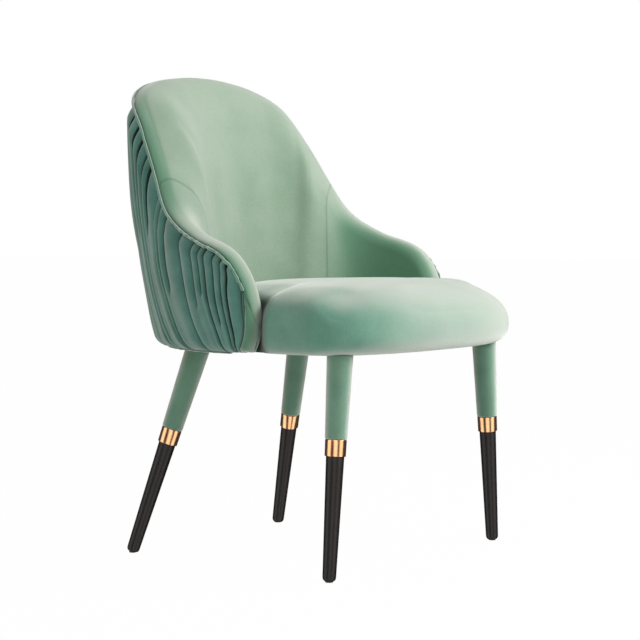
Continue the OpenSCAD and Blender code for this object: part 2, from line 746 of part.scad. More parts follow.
module outer_wadding() {
    sunk = fabric + ease;
    color("#e8e8e4")
    loft([for (t = shell_columns) let (s = t * (1 - front_hem / nose_speed),
            top = top_depth(s, rim_pad + 1), bottom = depth_at(s, frame_z + 2),
            rows = [for (k = [0, 0.08, 0.2, 0.4, 0.6, 0.8, 0.93, 1]) lerp(top, bottom, k)])
        section_points(s, concat(
            [for (d = rows) [ply / 2 + ease, d]],
            [for (i = [len(rows) - 1:-1:0]) [cover_off(s, rows[i], sunk + pleat_depth + 0.5), rows[i]]]))]);
}

// Cover of the padding over a run of columns. It turns over the edge and ends in
// the sewn line, which runs along the rim and down behind the arm's front.
module cover_panel(ts) {
    color(green)
    loft([for (t = ts) let (foot_z = pad_foot(t, base_height + ease),
            rows = depths(t, 0, foot_z, 8), inner_rows = depths(t, fabric, foot_z, 8),
            past = from_end(t) < front_hem,
            hem = past ? rows[len(rows) - 1] : top_depth(t, corner_h(t) - ease),
            a = top_depth(t, 0), b = top_depth(t, fabric), share = past ? [0.02, 0.1, 1] : [0.2, 0.6, 1])
        section_points(t, concat(
            [for (i = [len(rows) - 1:-1:0]) [inner_off(t, rows[i], 0), rows[i]]],
            [for (k = share) let (d = lerp(a, hem, k)) [outer_off(t, d, 0), d]],
            [for (i = [2:-1:0]) let (d = lerp(b, max(hem, b + 1), share[i]))
                [max(outer_off(t, d, fabric), least_off), d]],
            [for (d = inner_rows) [min(inner_off(t, d, fabric), -least_off), d]]))]);
}
module inner_back_cover() {
    cover_panel(back_columns);
}
seam_gap = 0.0005;    // of t, between the panels
module left_arm_cover() {
    cover_panel([for (t = arm_columns) max(t, seam_at + seam_gap)]);
}
module right_arm_cover() {
    mirror([1, 0, 0]) left_arm_cover();
}
module outer_cover() {
    reach = 1 - front_hem / nose_speed;
    color(dark_green)
    loft([for (i = [0:2 * pleats]) let (t = reach * (i / pleats - 1), ridge = i % 2 == 1 ? 0 : pleat_depth,
            top = top_depth(t, corner_h(t)), bottom = depth_at(t, base_height),
            rows = [for (k = [0, 0.05, 0.14, 0.3, 0.5, 0.7, 0.86, 0.95, 1]) lerp(top, bottom, k)],
            fade = [0, 0.5, 1, 1, 1, 1, 0.9, 0.5, 0.2])
        section_points(t, concat(
            [for (j = [0:8]) [cover_off(t, rows[j], fabric + ridge * fade[j]), rows[j]]],
            [for (j = [8:-1:0]) [cover_off(t, rows[j], ridge * fade[j]), rows[j]]]))]);
}
function seam_point(t, off) = place(t, top_depth(t, corner_h(t)), thick(t) + off);
module edge_piping() {
    r = piping_d / 2;
    reach = 1 - front_hem / nose_speed;
    color(green)
    loft([for (t = span(-reach, reach, 60)) let (middle = seam_point(t, r + ease),
            ahead = seam_point(min(t + step, reach), 0), behind = seam_point(max(t - step, -reach), 0),
            along = unit(ahead - behind), u = out(t, 0), v = cross(along, u))
        [for (a = [0:45:315]) middle + r * (cos(a) * u + sin(a) * v)]]);
}
hem_t = 2;
hem_w = 10;
hem_inset = 7;    // behind the outer cover's widest line
module hem_band() {
    reach = 0.9;
    edge = span(-reach, reach, 36);
    color(dark_green)
    translate([0, 0, base_height - hem_t])
        linear_extrude(hem_t - ease)
            polygon(concat(
                [for (t = edge) place_foot(t, thick(t) - hem_inset - hem_w)],
                [for (i = [36:-1:0]) place_foot(edge[i], thick(edge[i]) - hem_inset)]));
}

// ---- The chair ----

module leg_piece(i, piece) {
    if (piece == "leg_wood") leg_wood(i);
    if (piece == "leg_sleeve") leg_sleeve(i);
    if (piece == "ferrule") ferrule(i);
    if (piece == "leg_tip") leg_tip(i);
    if (piece == "glide") glide(i);
}
for (i = [0:3], piece = leg_pieces)
    leg_piece(i, piece);
joining_studs();
leg_bolts();
tee_nuts();
leg_plates();
plate_screws();
front_rail();
rear_rail();
left_rail();
right_rail();
corner_blocks();
frame_dowels();
webbing_lengthwise();
webbing_across();
dust_cover();
seat_foam();
seat_cover();
back_shell();
back_base_rail();
back_bolts();
inner_foam();
outer_wadding();
inner_back_cover();
left_arm_cover();
right_arm_cover();
outer_cover();
edge_piping();
hem_band();
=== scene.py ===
import math

import bmesh
import bpy
import numpy as np
from mathutils import Matrix, Vector, noise


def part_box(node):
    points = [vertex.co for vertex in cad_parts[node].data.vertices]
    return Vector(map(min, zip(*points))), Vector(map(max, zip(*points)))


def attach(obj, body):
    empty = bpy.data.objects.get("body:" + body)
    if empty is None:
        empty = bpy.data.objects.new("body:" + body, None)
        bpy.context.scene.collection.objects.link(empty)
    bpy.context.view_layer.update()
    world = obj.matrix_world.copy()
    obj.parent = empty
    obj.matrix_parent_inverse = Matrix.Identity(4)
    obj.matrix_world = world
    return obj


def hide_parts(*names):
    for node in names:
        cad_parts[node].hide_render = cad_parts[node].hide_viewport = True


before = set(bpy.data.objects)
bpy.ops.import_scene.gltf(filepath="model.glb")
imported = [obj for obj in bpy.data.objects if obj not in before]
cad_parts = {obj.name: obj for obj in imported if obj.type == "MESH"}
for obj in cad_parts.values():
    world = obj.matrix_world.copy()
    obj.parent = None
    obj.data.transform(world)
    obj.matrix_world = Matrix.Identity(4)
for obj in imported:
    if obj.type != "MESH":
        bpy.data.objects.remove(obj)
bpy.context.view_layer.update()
scene = bpy.context.scene


# ---- Glides ----
# A small hard plastic disc is nailed under each foot, so that the chair slides
# on a floor. It is injection moulded, dark and matt.

glide_drop = 0.004
edge_round = 0.0008     # radius of a small rounded edge


def linear(hex_colour):
    """The linear red, green, blue and alpha of an sRGB hex colour."""
    parts = [int(hex_colour[i:i + 2], 16) / 255 for i in (1, 3, 5)]
    return [c / 12.92 if c <= 0.04045 else ((c + 0.055) / 1.055) ** 2.4 for c in parts] + [1.0]


def add_node(tree, kind, settings=(), links=()):
    """A new shader node with its settings, by name or by the number of an input, and its
    links, each from a socket or from the first live output of a node."""
    made = tree.nodes.new("ShaderNode" + kind)
    for name, value in dict(settings).items():
        if isinstance(name, int) or name in made.inputs:
            made.inputs[name].default_value = value
        else:
            setattr(made, name, value)
    for name, source in dict(links).items():
        if isinstance(source, bpy.types.Node):
            source = next(socket for socket in source.outputs if socket.enabled)
        tree.links.new(source, made.inputs[name])
    return made


def new_finish(name):
    """A new material, and its empty node tree."""
    finish = bpy.data.materials.new(name)
    finish.use_nodes = True
    tree = finish.node_tree
    tree.nodes.clear()
    return finish, tree


def pattern(tree, settings, stretch=None, kind="TexNoise", output="Fac"):
    """The output of a texture that is drawn on the piece in metres, where the scale is one
    over the size of its marks, or of the same stretched along its grain."""
    place_on = add_node(tree, "TexCoord").outputs["Object"]
    if stretch:
        place_on = add_node(tree, "Mapping", {"Scale": stretch}, {"Vector": place_on})
    return add_node(tree, kind, settings, {"Vector": place_on}).outputs[output]


def show_surface(tree, settings, tones=None, gloss=None, dents=None, links=()):
    """The surface, and what follows a pattern on it: two tones, two values of roughness, or
    dents of a strength and a depth in metres. Each of these ends with the pattern."""
    links = dict(links)
    if tones:
        links["Base Color"] = add_node(
            tree, "Mix", {"data_type": "RGBA", 6: linear(tones[0]), 7: linear(tones[1])},
            {0: tones[2]})
    if gloss:
        links["Roughness"] = add_node(
            tree, "MapRange", {"To Min": gloss[0], "To Max": gloss[1]}, {"Value": gloss[2]})
    if dents:
        links["Normal"] = add_node(
            tree, "Bump", {"Strength": dents[0], "Distance": dents[1]}, {"Height": dents[2]})
    surface = add_node(tree, "BsdfPrincipled", settings, links)
    add_node(tree, "OutputMaterial", links={"Surface": surface})


def spun(profile, steps=64):
    """A round body about Z from a line of (radius, height) points."""
    bm = bmesh.new()
    line = [bm.verts.new((r, 0, z)) for r, z in profile]
    edges = [bm.edges.new(pair) for pair in zip(line, line[1:])]
    bmesh.ops.spin(bm, geom=line + edges, cent=(0, 0, 0), axis=(0, 0, 1),
                   angle=math.tau, steps=steps, use_merge=True)
    bmesh.ops.remove_doubles(bm, verts=bm.verts, dist=1e-6)
    bmesh.ops.recalc_face_normals(bm, faces=bm.faces)
    return bm


def soften(bm, width, segments=3, least=35):
    """Rounds every edge that turns by more than the least angle."""
    sharp = [e for e in bm.edges if e.calc_face_angle(0) > math.radians(least)]
    bmesh.ops.bevel(bm, geom=sharp, offset=width, affect="EDGES", segments=segments,
                    profile=0.5, material=-1)


def make_piece(bm, name, finish, stands_for=()):
    """The finished piece, on the chair's one body and in place of its CAD nodes."""
    mesh = bpy.data.meshes.new(name)
    bm.to_mesh(mesh)
    bm.free()
    mesh.shade_smooth()
    mesh.materials.append(finish)
    piece = bpy.data.objects.new(name, mesh)
    scene.collection.objects.link(piece)
    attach(piece, "root")
    if stands_for:
        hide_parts(*stands_for)
    return piece


def middle_of(node):
    """The middle of a CAD node's box."""
    low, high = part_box(node)
    return (Vector(low) + Vector(high)) / 2


# Each leg's foot on the floor and the direction of its middle line
legs = {}
for leg in ("front_left", "front_right", "rear_left", "rear_right"):
    pad = middle_of(leg + "_glide")
    start = Vector((pad.x, pad.y, glide_drop))
    axis = (middle_of(leg + "_ferrule") - start).normalized()
    legs[leg] = (start - axis * glide_drop, axis)

# Moulded polyamide: matt, with a faint grain from the mould
glide_plastic, tree = new_finish("moulded_polyamide")
show_surface(tree, {"Base Color": linear("#2b2926"), "Roughness": 0.6, "IOR": 1.53},
             dents=(0.2, 0.0002, pattern(tree, {"Scale": 1 / 0.0012, "Detail": 2})))

for leg, (foot, axis) in legs.items():
    low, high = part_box(leg + "_glide")
    r = (high[0] - low[0]) / 2
    bm = spun([(0, 0), (r, 0), (r, glide_drop), (0, glide_drop)], steps=32)
    soften(bm, edge_round)
    pad = middle_of(leg + "_glide")
    bmesh.ops.translate(bm, verts=bm.verts, vec=(pad.x, pad.y, 0))
    make_piece(bm, leg + "_foot_glide", glide_plastic, [leg + "_glide"])


# ---- Lower legs ----
# The lower leg is turned from beech, tapers to the floor and is sprayed with
# black satin lacquer. A steel stud in its top end screws it to the upper leg.

tip_length = 0.204
tip_top_r = 0.015
tip_foot_r = 0.011
foot_r = 0.0062         # rounds the edge of the foot
foot_bottom = 0.0013
floor_gap = 0.0012      # only the glide touches the floor
side_start = 0.009
ring_gap = 0.0002       # between the leg's upper end and the ring

# Satin lacquer over fine-grained beech: near black, with a soft highlight that
# the grain breaks up a little
lacquer, tree = new_finish("black_satin_lacquer_on_beech")
# Beech pores are under 0.1 mm wide; drawn 1.2 mm wide and 14 mm long to show
pores = pattern(tree, {"Scale": 1, "Detail": 3}, (1 / 0.0012, 1 / 0.0012, 1 / 0.014))
show_surface(tree, {"IOR": 1.5, "Specular IOR Level": 0.22}, ("#100e0d", "#1e1815", pores),
             (0.34, 0.46, pores), (0.15, 0.0002, pores))


def stand(bm, leg):
    """Puts a piece that was made upright on the origin on its leg's own line."""
    foot, axis = legs[leg]
    turn = Vector((0, 0, 1)).rotation_difference(axis).to_matrix().to_4x4()
    bmesh.ops.transform(bm, matrix=Matrix.Translation(foot) @ turn, verts=bm.verts)


for leg in legs:
    end = [(tip_foot_r - foot_r * (1 - math.cos(a)), foot_bottom + foot_r * (1 - math.sin(a)))
           for a in np.radians([90, 72, 54, 36, 18, 0])]
    side = [(float(tip_foot_r + (tip_top_r - tip_foot_r) * h / tip_length), float(h))
            for h in np.linspace(side_start, tip_length - ring_gap, 9)]
    bm = spun([(0, foot_bottom)] + end + side + [(0, tip_length - ring_gap)], steps=56)
    soften(bm, edge_round)
    stand(bm, leg)
    for v in bm.verts:
        v.co.z = max(v.co.z, floor_gap)
    make_piece(bm, leg + "_lower_leg", lacquer, [leg + "_leg_tip"])


# ---- Ferrules ----
# A turned brass ring joins the two parts of each leg. Its edges are broken by
# 0.6 mm, and it is polished and tinted to an antique rose gold.

ferrule_r = 0.01775
ferrule_h = 0.027
ferrule_draft = 0.0004  # the ring is this much narrower at its lower end
ferrule_round = 0.0006
bore = 0.0042           # clears the stud

# Polished brass with an antique tone: a metal with fine turning lines round it
brass, tree = new_finish("polished_antique_brass")
# Turning lines are 0.05 mm apart; drawn 0.7 mm apart so that they show
turned = pattern(tree, {"Scale": 1, "Detail": 2}, (6, 6, 1 / 0.0007))
tarnish = pattern(tree, {"Scale": 1 / 0.009, "Detail": 4})
show_surface(tree, {"Metallic": 1.0}, ("#cb9c74", "#b98962", tarnish), (0.17, 0.25, tarnish),
             (0.12, 0.0001, turned))

for leg in legs:
    bm = spun([(bore, tip_length), (ferrule_r - ferrule_draft, tip_length),
               (ferrule_r, tip_length + ferrule_h), (bore, tip_length + ferrule_h),
               (bore, tip_length)], steps=72)
    soften(bm, ferrule_round, segments=4)
    stand(bm, leg)
    make_piece(bm, leg + "_ring", brass, [leg + "_ferrule"])


# ---- Upper legs ----
# The upper leg is a turned beech cone covered with a tube of velvet, glued on
# with its seam at the back and turned in over the ferrule at its lower end.

sleeve_start = tip_length + ferrule_h
leg_mid_r = 0.01825
leg_top_r = 0.02175
fabric = 0.0015
ease = 0.0003           # room left between pieces
tuck_h = 0.003          # the sleeve's lower end turns in over this height
tuck_in = 0.0016
sleeve_seam = 0.0009    # depth of the seam's groove, and its half width
sleeve_seam_w = 0.0012
fitting = 0.00025       # unevenness of hand fitting
base_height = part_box("outer_cover")[0][2]

# The velvet where its pile is dense and where it is brushed, its pale painted sheen, its
# near-black painted shade, and the deeper green of the arm panels, also used as painted shade over
# the edge
velvet_deep = "#5f8f7b"
velvet_light = "#6f9d88"
painted_sheen_tone = "#bbc3b6"
painted_shade_tone = "#17322a"
arm_green_and_edge_shade_tone = "#618b70"


def velvet(name, deep=velvet_deep, light=velvet_light, lift=0.9, sheen=0.9,
           stitched=False, with_painted_shade=False):
    """Short-pile polyester velvet: dull and deep where it is seen straight on, with a painted
    sheen that turns its colour pale where it is seen at a slant. Brushing leaves soft
    patches. Where it is stitched, needle holes follow the seam, the arm panels are a deeper
    green, and painted shade darkens the outer part of the edge. Where painted shade is
    asked for, an attribute darkens the colour to near black and takes the sheen away."""
    finish, tree = new_finish(name)
    patches = pattern(tree, {"Scale": 1 / 0.055, "Detail": 3, "Roughness": 0.55})
    # The pile is 0.2 mm apart; drawn 1.6 mm apart so that it shows
    pile = pattern(tree, {"Scale": 1 / 0.0016, "Detail": 2})
    share = add_node(tree, "MapRange", {"From Min": 0.3, "From Max": 0.7}, {"Value": patches})
    ground = add_node(tree, "Mix", {"data_type": "RGBA", 6: linear(deep), 7: linear(light)},
                      {0: share})
    if stitched:
        # A deeper green on the arm panels, and painted shade over the outer part of the edge
        across = add_node(tree, "Attribute", {"attribute_name": "across_seam"})
        arm_and_edge_share = add_node(tree, "Attribute", {"attribute_name": "arm_green_and_edge_shade"})
        ground = add_node(tree, "Mix", {"data_type": "RGBA", 7: linear(arm_green_and_edge_shade_tone)},
                          {0: arm_and_edge_share.outputs["Fac"], 6: ground})
    # Painted sheen: the colour turns pale where the surface is seen at a slant
    slant = add_node(tree, "LayerWeight", {"Blend": 0.5})
    painted_sheen = add_node(tree, "MapRange", {"interpolation_type": "SMOOTHSTEP",
                                       "From Min": 0.08, "From Max": 0.8, "To Max": lift},
                    {"Value": slant.outputs["Facing"]})
    if stitched:
        shown = add_node(tree, "MapRange", {"To Min": 0.35, "To Max": 1.0},
                         {"Value": arm_and_edge_share.outputs["Fac"]})
        painted_sheen = add_node(tree, "Math", {"operation": "MULTIPLY"}, {0: painted_sheen, 1: shown})
    ground = add_node(tree, "Mix", {"data_type": "RGBA", 7: linear(painted_sheen_tone)},
                      {0: painted_sheen, 6: ground})
    speckle = add_node(tree, "MapRange",
                       {"From Min": 0.3, "From Max": 0.7, "To Min": 0.9, "To Max": 1.08},
                       {"Value": pile})
    colour = add_node(tree, "Mix", {"data_type": "RGBA", "blend_type": "MULTIPLY", 0: 1.0},
                      {6: ground, 7: speckle})
    if stitched:
        along = add_node(tree, "Attribute", {"attribute_name": "along_seam"})
        # Two rows of needle holes, which are staggered
        row_gap, hole_pitch, hole_r = 0.0027, 0.004, 0.0006
        holes = []
        for row in (-1, 1):
            off = add_node(tree, "Math", {"operation": "ADD", 1: row * row_gap / 2},
                           {0: across.outputs["Fac"]})
            moved = add_node(tree, "Math", {"operation": "ADD", 1: row * hole_pitch / 4},
                             {0: along.outputs["Fac"]})
            pitch = add_node(tree, "Math", {"operation": "PINGPONG", 1: hole_pitch / 2},
                             {0: moved})
            spot = add_node(tree, "CombineXYZ", links={0: off, 1: pitch})
            reach = add_node(tree, "VectorMath", {"operation": "LENGTH"}, {0: spot})
            holes.append(add_node(
                tree, "MapRange", {"interpolation_type": "SMOOTHSTEP",
                                   "From Min": hole_r, "From Max": hole_r + 0.0005},
                {"Value": reach}))
        both = add_node(tree, "Math", {"operation": "MULTIPLY"}, {0: holes[0], 1: holes[1]})
        colour = add_node(tree, "Mix", {"data_type": "RGBA", 6: linear("#223a30")},
                          {0: both, 7: colour})
    links = {}
    if with_painted_shade:
        # Painted shade: the colour goes towards near black and the sheen fades out
        shade_share = add_node(tree, "Attribute", {"attribute_name": "painted_shade"})
        colour = add_node(tree, "Mix", {"data_type": "RGBA", 7: linear(painted_shade_tone)},
                          {0: shade_share.outputs["Fac"], 6: colour})
        links["Sheen Weight"] = add_node(tree, "MapRange", {"To Min": sheen, "To Max": 0.0},
                                         {"Value": shade_share.outputs["Fac"]})
    show_surface(tree, {"Roughness": 0.9, "Specular IOR Level": 0.1, "Sheen Weight": sheen,
                        "Sheen Roughness": 0.45, "Sheen Tint": linear("#f4f6f2")},
                 dents=(0.3, 0.0005, pile), links={**links, "Base Color": colour})
    return finish


sleeve_velvet = velvet("short_pile_velvet", "#688f78", "#789d86")

for leg, (foot, axis) in legs.items():
    length = (base_height - foot.z) / axis.z - sleeve_start
    heights = [0.0006 + 0.0012 * i for i in range(5)]
    heights += [float(h) for h in np.linspace(side_start, length, 12)]
    outer = []
    for h in heights:
        full = leg_mid_r + (leg_top_r - leg_mid_r) * h / length
        outer.append((full - tuck_in * max(1 - h / tuck_h, 0) ** 2, sleeve_start + h))
    inner = [(r - fabric, h) for r, h in reversed(outer)]
    bm = spun(outer + inner + outer[:1], steps=72)
    stand(bm, leg)
    for v in bm.verts:
        way = v.co - foot
        h = way.dot(axis)
        spoke = way - axis * h
        # The seam at the back of the leg, and the slight unevenness of hand fitting
        back = Vector((0, 1, 0)) - axis * axis.y
        turn = math.atan2(spoke.cross(back).dot(axis), spoke.dot(back))
        seam = -sleeve_seam * math.exp(-(turn * leg_top_r / sleeve_seam_w) ** 2)
        uneven = fitting * noise.noise(Vector((turn * 1.5, h / 0.03, len(leg))))
        v.co += spoke.normalized() * (seam + uneven)
        if v.co.z > base_height - 0.001:
            v.co -= axis * ((v.co.z - base_height + ease) / axis.z)
    make_piece(bm, leg + "_velvet_sleeve", sleeve_velvet, [leg + "_leg_sleeve"])


# ---- Frame timber ----
# The cores of the upper legs, the rails, the corner blocks and the dowels are
# planed beech, glued and dowelled together. All of it is hidden by the covers.

# Planed beech: pale, with short brown ray flecks along the grain
beech, tree = new_finish("planed_beech")
along_grain = (1 / 0.02, 1 / 0.004, 1 / 0.004)
grain = pattern(tree, {"Scale": 1, "Detail": 4}, along_grain)
flecks = pattern(tree, {"Scale": 3, "Detail": 2}, along_grain)
show_surface(tree, {"Roughness": 0.65}, ("#d8b888", "#bd9765", grain), dents=(0.2, 0.0003, flecks))


def finish_nodes(finish, *names):
    """Gives CAD nodes that still show their finish."""
    for name in names:
        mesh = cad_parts[name].data
        mesh.materials.clear()
        mesh.materials.append(finish)


finish_nodes(beech, *[leg + "_leg_wood" for leg in legs], "front_rail", "rear_rail", "left_rail",
             "right_rail", "corner_blocks", "frame_dowels", "back_base_rail")


# ---- Back shell ----
# One sheet of beech plywood, pressed in a mould to the curve of the tub back and
# bolted to the base rail.

# Rotary-cut beech veneer: pale, with its grain upright
plywood, tree = new_finish("moulded_plywood")
grain = pattern(tree, {"Scale": 1, "Detail": 4}, (1 / 0.006, 1 / 0.006, 1 / 0.05))
show_surface(tree, {"Roughness": 0.6}, ("#cfae7d", "#b48d5c", grain), dents=(0.15, 0.0003, grain))
finish_nodes(plywood, "back_shell")


# ---- Fixings ----
# Studs, bolts, tee nuts, plates and screws are zinc-plated mild steel. They hold
# the legs and the shell to the frame, and can be undone with a wrench.

# Zinc plating: a cool grey metal with a soft, slightly cloudy gloss
zinc, tree = new_finish("zinc_plated_steel")
clouds = pattern(tree, {"Scale": 1 / 0.006, "Detail": 3})
show_surface(tree, {"Metallic": 1.0}, ("#b9bcc0", "#a3a7ad", clouds), (0.28, 0.45, clouds))
finish_nodes(zinc, "joining_studs", "leg_bolts", "tee_nuts", "leg_plates", "plate_screws",
             "back_bolts")


# ---- Webbing ----
# Bands of elastic webbing are stretched across the frame both ways and stapled
# to the top of its rails. They carry the cushion.

# Woven polypropylene and rubber: dark bands with a rib every 2 mm
webbing, tree = new_finish("woven_elastic_webbing")
ribs = pattern(tree, {"Scale": 1 / 0.002 / 6.28, "Distortion": 0.4, "Detail": 1}, kind="TexWave")
show_surface(tree, {"Roughness": 0.85}, ("#262625", "#3c3b39", ribs), dents=(0.4, 0.0006, ribs))
finish_nodes(webbing, "webbing_lengthwise", "webbing_across")


# ---- Dust cover ----
# A sheet of black non-woven lining is stapled under the frame. It hides the
# webbing and keeps dust in the seat from falling on the floor.

# Spun-bonded polypropylene: dull black, dimpled where its fibres were welded
lining, tree = new_finish("spunbonded_lining")
dimples = pattern(tree, {"Scale": 1 / 0.0025}, kind="TexVoronoi", output="Distance")
show_surface(tree, {"Roughness": 0.95}, ("#1b1b1b", "#2b2b2a", dimples),
             dents=(0.4, 0.0004, dimples))
finish_nodes(lining, "dust_cover")


# ---- Seat cushion ----
# A block of moulded foam, crowned and round-fronted, is covered with velvet that
# is pulled tight and stapled under the frame. It fills the tub between the arms
# and follows the shell, so the shape of the shell comes first.

back_height = 0.852
arm_height = 0.541
arm_reach = 0.289
shoulder_reach = 0.203
foot_half_width = 0.278
foot_depth = 0.289
foot_turn = math.radians(97)
foot_y = -0.046
# Places along the shell are given by t, from -1 at the right arm's front over 0 in the
# middle of the back to 1 at the left arm's front
t_step = 0.004
back_pad = 0.017        # padding from the shell's middle to each face, at the back
arm_pad = 0.025         # and at the arms
nose_r = 0.054          # rounds the upper corner at the arm's front
nose_speed = 0.52       # metres along the edge for each unit of t, near the arm's front
edge_roll = 0.024       # the padding's inner face rounds over into the edge
back_foam = 0.068       # extra foam behind the sitter
foam_end = 0.84         # t where it ends
foam_fade = 0.46        # and over which it thins out
back_slope = 0.260      # depth over which it builds up, at the back
wing_slope = 0.056      # and at the wings
wing_full = 0.42
build_rate = 1.7
seam_at = 0.55          # t of the upright seams of the inner cover
foot_round = 0.018      # rounds the outer cover under the shell
front_hem = 0.018       # the covers meet this far behind the arm's front


def lerp(a, b, k):
    """The share k of the way from a to b."""
    return a + (b - a) * k


def ease_in(k):
    """From 0 to 1 while k does, without a kink at either end."""
    c = np.clip(k, 0, 1)
    return c * c * (3 - 2 * c)


rim_half = [(0, 0.255, back_height), (0.067, 0.253, back_height - 0.0035),
            (shoulder_reach - 0.059, 0.248, back_height - 0.016),
            (shoulder_reach, 0.224, back_height - 0.047)]
rim_half += [(lerp(shoulder_reach, arm_reach, a), y, lerp(back_height, arm_height, b))
             for a, y, b in ((0.27, 0.182, 0.35), (0.45, 0.142, 0.575), (0.66, 0.1, 0.79))]
rim_half += [(arm_reach - 0.013, 0.041, arm_height + 0.027), (arm_reach, -0.03, arm_height),
             (arm_reach - 0.002, -0.088, arm_height - 0.048)]
rim_points = np.array([(-x, y, z) for x, y, z in rim_half[:0:-1]] + rim_half)


def rim(t):
    """Smooth curve along the top of the shell."""
    u = (np.asarray(t, float) + 1) * (len(rim_half) - 1)
    last = len(rim_points) - 1
    i = np.clip(np.floor(u).astype(int), 0, last - 1)
    f = (u - i)[..., None]
    a, b = rim_points[np.maximum(i - 1, 0)], rim_points[i]
    c, d = rim_points[i + 1], rim_points[np.minimum(i + 2, last)]
    return b + 0.5 * f * ((c - a) + f * ((2 * a - 5 * b + 4 * c - d) + f * (3 * (b - c) + d - a)))


def foot_line(t):
    """The ellipse that the foot of the shell follows."""
    a = foot_turn * np.asarray(t, float)
    return np.stack([foot_half_width * np.sin(a), foot_y + foot_depth * np.cos(a),
                     np.full(a.shape, base_height)], axis=-1)


def side_of(p, q):
    """The level direction square to the way from q to p."""
    way = np.stack([q[..., 1] - p[..., 1], p[..., 0] - q[..., 0], np.zeros(p.shape[:-1])], axis=-1)
    return way / np.linalg.norm(way, axis=-1, keepdims=True)


def outward(t, k):
    """The direction away from the sitter, square to the rim for k = 0 and to the foot for 1."""
    s = np.clip(t, -1 + t_step, 1 - t_step)
    way = lerp(side_of(rim(s + t_step), rim(s - t_step)),
               side_of(foot_line(s + t_step), foot_line(s - t_step)), np.asarray(k)[..., None])
    return way / np.linalg.norm(way, axis=-1, keepdims=True)


def slope(t):
    """Distance from the rim for each metre of depth below it, as the rim slopes."""
    s = np.clip(t, -1 + t_step, 1 - t_step)
    d = rim(s + t_step) - rim(s - t_step)
    return np.linalg.norm(d[..., :2], axis=-1) / np.linalg.norm(d, axis=-1)


def line_length(t):
    return np.linalg.norm(rim(t) - foot_line(t), axis=-1)


def from_end(t):
    """Distance from the arm's front."""
    return (1 - np.abs(t)) * nose_speed


def corner_drop(t):
    """How far the rounded corner at the arm's front takes the edge down."""
    e = np.minimum(from_end(t), nose_r)
    return nose_r - np.sqrt(nose_r ** 2 - (nose_r - e) ** 2)


def edge_gap(e, d):
    """Distance from the edge of the shell, e behind its front and d below its rim."""
    inside = np.maximum(nose_r - np.hypot(nose_r - e, nose_r - d), 0)
    return np.where((e < nose_r) & (d < nose_r), inside, np.maximum(np.minimum(e, d), 0))


def thick(t):
    return lerp(back_pad, arm_pad, np.abs(t))


def quarter(k):
    """A quarter of a circle, from 0 to 1."""
    return (1 - (1 - np.clip(k, 0, 1)) ** 2) ** 0.5


def extra_pad(t):
    """The extra foam behind the sitter, which thins out along the arms."""
    return back_foam * ease_in((foam_end - np.abs(t)) / foam_fade)


def pad_depth(t):
    return thick(t) + extra_pad(t)


def build_up(t):
    return lerp(back_slope, wing_slope, ease_in(np.abs(t) / wing_full))


def place(t, depth, off):
    """The point at a depth below the rim, moved outwards by off. Inwards, the way is square
    to the foot at every height, so that deep padding has no folds."""
    t, depth, off = np.broadcast_arrays(np.asarray(t, float), depth, off)
    k = depth / line_length(t)
    return (lerp(rim(t), foot_line(t), k[..., None])
            + off[..., None] * outward(t, np.where(off < 0, 1.0, k)))


def depth_at(t, z):
    top = rim(t)[..., 2]
    return line_length(t) * (top - z) / (top - base_height)


def top_depth(t, inset):
    return (corner_drop(t) + inset) / slope(t)


def gap_at(t, depth):
    return edge_gap(from_end(t), depth * slope(t))


def corner_h(t):
    return lerp(0.004, 0.011, np.abs(t))


def inner_off(t, depth):
    """The inner padding's face, from the shell's middle: negative is towards the sitter."""
    gap = gap_at(t, depth)
    return (-thick(t) * quarter(gap / edge_roll)
            - extra_pad(t) * np.tanh(build_rate * np.maximum(gap, 0) / build_up(t)))


def outer_off(t, depth):
    """The outer padding's face, where it rounds into the piping."""
    return thick(t) * quarter(gap_at(t, depth) / corner_h(t))


def shaped_grid(points, attributes=()):
    """A grid with its corners moved to the given array of points, merged where they meet and
    closed where an end is open. Attributes are arrays of one number for each point."""
    columns, rows = points.shape[:2]
    bm = bmesh.new()
    bmesh.ops.create_grid(bm, x_segments=columns - 1, y_segments=rows - 1, size=1)
    layers = [(bm.verts.layers.float.new(name), values)
              for name, values in dict(attributes).items()]
    for v in bm.verts:
        i = round((v.co.x + 1) / 2 * (columns - 1))
        j = round((v.co.y + 1) / 2 * (rows - 1))
        v.co = points[i, j]
        for layer, values in layers:
            v[layer] = values[i, j]
    bmesh.ops.remove_doubles(bm, verts=bm.verts, dist=1e-5)
    bmesh.ops.holes_fill(bm, edges=[edge for edge in bm.edges if edge.is_boundary])
    bmesh.ops.recalc_face_normals(bm, faces=bm.faces)
    return bm


seat_y = -0.166         # the widest place, behind which the sides go in beside the arms
seat_half_width = 0.292
seat_nose = 0.134       # from the widest place to the front
front_bend = 2 / 2.9    # the front is fuller than an ellipse
side_bulge = 0.030      # the sides and the front stand out over the lower edge
front_bulge = 0.031
seat_waist = 0.032      # height of the lower, hanging part of the side
seat_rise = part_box("seat_cover")[1][2] - base_height
web_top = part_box("webbing_across")[1][2]
wall_gap = 0.002        # between the cushion and the padding of the back
wall_z = base_height + 0.51 * seat_rise
wall_end = 0.9          # t where the side of the seat leaves the padding


